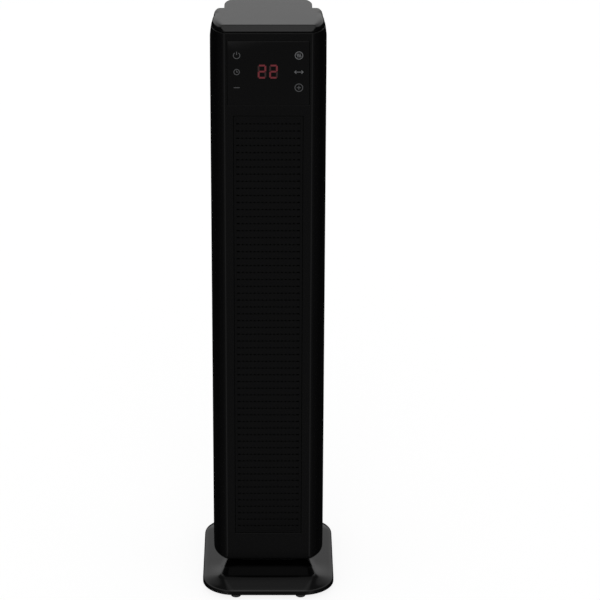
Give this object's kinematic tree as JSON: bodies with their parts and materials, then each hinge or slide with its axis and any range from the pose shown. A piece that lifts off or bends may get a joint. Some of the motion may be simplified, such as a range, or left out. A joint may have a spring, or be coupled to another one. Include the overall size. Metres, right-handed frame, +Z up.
{
  "type": "tower fan heater",
  "caption": "Slim tower fan heater: black case with a touch panel and outlet grille, on a flat base it swings on.",
  "frame": {"origin": "on the floor under the middle of the base's outline; the rubber feet stand at z = 0", "axes": "+Z up the tower; the touch panel and outlet grille face -Y; +X is to the right of someone who faces the heater"},
  "size_m": [0.1468, 0.178, 0.65],
  "materials": {
    "black_gloss": "glossy black moulded plastic, no pattern",
    "black_textured": "black moulded plastic with a fine spark-eroded grain",
    "black_matte": "black moulded plastic, satin",
    "smoked_panel": "smoked glossy touch panel",
    "rubber": "black rubber",
    "steel": "zinc-plated steel",
    "aluminium": "bare aluminium",
    "white_nylon": "natural nylon",
    "heat_proof_plastic": "dark grey heat-proof plastic",
    "board_green": "green solder mask",
    "display_dark": "dark red-tinted display window",
    "filter_mesh": "fine black nylon mesh"
  },
  "bodies": {
    "base": {"base_cover": "black_gloss", "base_bottom": "black_matte", "rubber_foot_1": "rubber", "rubber_foot_2": "rubber", "rubber_foot_3": "rubber", "rubber_foot_4": "rubber", "base_screw_1": "steel", "base_screw_2": "steel", "base_screw_3": "steel", "base_screw_4": "steel", "pivot_post": "white_nylon", "post_screw_1": "steel", "post_screw_2": "steel", "post_screw_3": "steel", "slide_ring": "black_matte", "fixed_gear": "white_nylon", "post_clip": "steel", "tip_switch": "black_matte"},
    "tower": {"tower_chassis": "black_matte", "front_shell": "black_gloss", "rear_shell": "black_textured", "rear_hood": "black_textured", "rear_screw_1": "steel", "rear_screw_2": "steel", "rear_screw_3": "steel", "rear_screw_4": "steel", "top_cap": "black_gloss", "outlet_grille": "black_matte", "control_panel": "smoked_panel", "grip_cup": "black_matte", "control_board": "board_green", "led_display": "display_dark", "ir_receiver": "black_gloss", "touch_spring_1": "steel", "touch_spring_2": "steel", "touch_spring_3": "steel", "touch_spring_4": "steel", "touch_spring_5": "steel", "touch_spring_6": "steel", "buzzer": "black_matte", "motor_deck": "black_matte", "bearing_deck": "black_matte", "blower_motor": "steel", "upper_bearing": "rubber", "scroll_wall": "black_matte", "nose_wall": "black_matte", "heater_frame": "heat_proof_plastic", "ptc_core_lower": "aluminium", "ptc_core_upper": "aluminium", "thermostat": "aluminium", "thermal_fuse": "aluminium", "swing_motor": "steel", "power_board": "board_green", "filter_screen": "filter_mesh", "cord_gland": "rubber", "rocker_housing": "black_matte"},
    "blower": {"blower_wheel": "black_matte"},
    "pinion": {"swing_pinion": "white_nylon"},
    "rocker_body": {"rocker": "black_gloss"},
    "plunger": {"tip_plunger": "white_nylon"}
  },
  "joints": [
    {"name": "tower_swing", "type": "hinge", "parent": "base", "child": "tower", "pos_m": [0, 0.009, 0.025], "axis": [0, 0, 1], "range_deg": [-35, 35]},
    {"name": "swing_pinion_spin", "type": "hinge", "parent": "tower", "child": "pinion", "pos_m": [0, 0.034, 0.0307], "axis": [0, 0, 1], "range_deg": [-145, 145]},
    {"name": "blower_spin", "type": "hinge", "parent": "tower", "child": "blower", "pos_m": [0, 0.013, 0.33], "axis": [0, 0, 1], "continuous": true},
    {"name": "rocker_tilt", "type": "hinge", "parent": "tower", "child": "rocker_body", "pos_m": [0, 0.061, 0.092], "axis": [1, 0, 0], "range_deg": [-16, 0]},
    {"name": "tip_plunger_slide", "type": "slide", "parent": "base", "child": "plunger", "axis": [0, 0, -1], "range_m": [0, 0.004], "stiffness_N_per_m": 50, "springref_m": 0.007}
  ],
  "couplings": [
    {"joint": "swing_pinion_spin", "follows": "tower_swing", "ratio": 4}
  ]
}
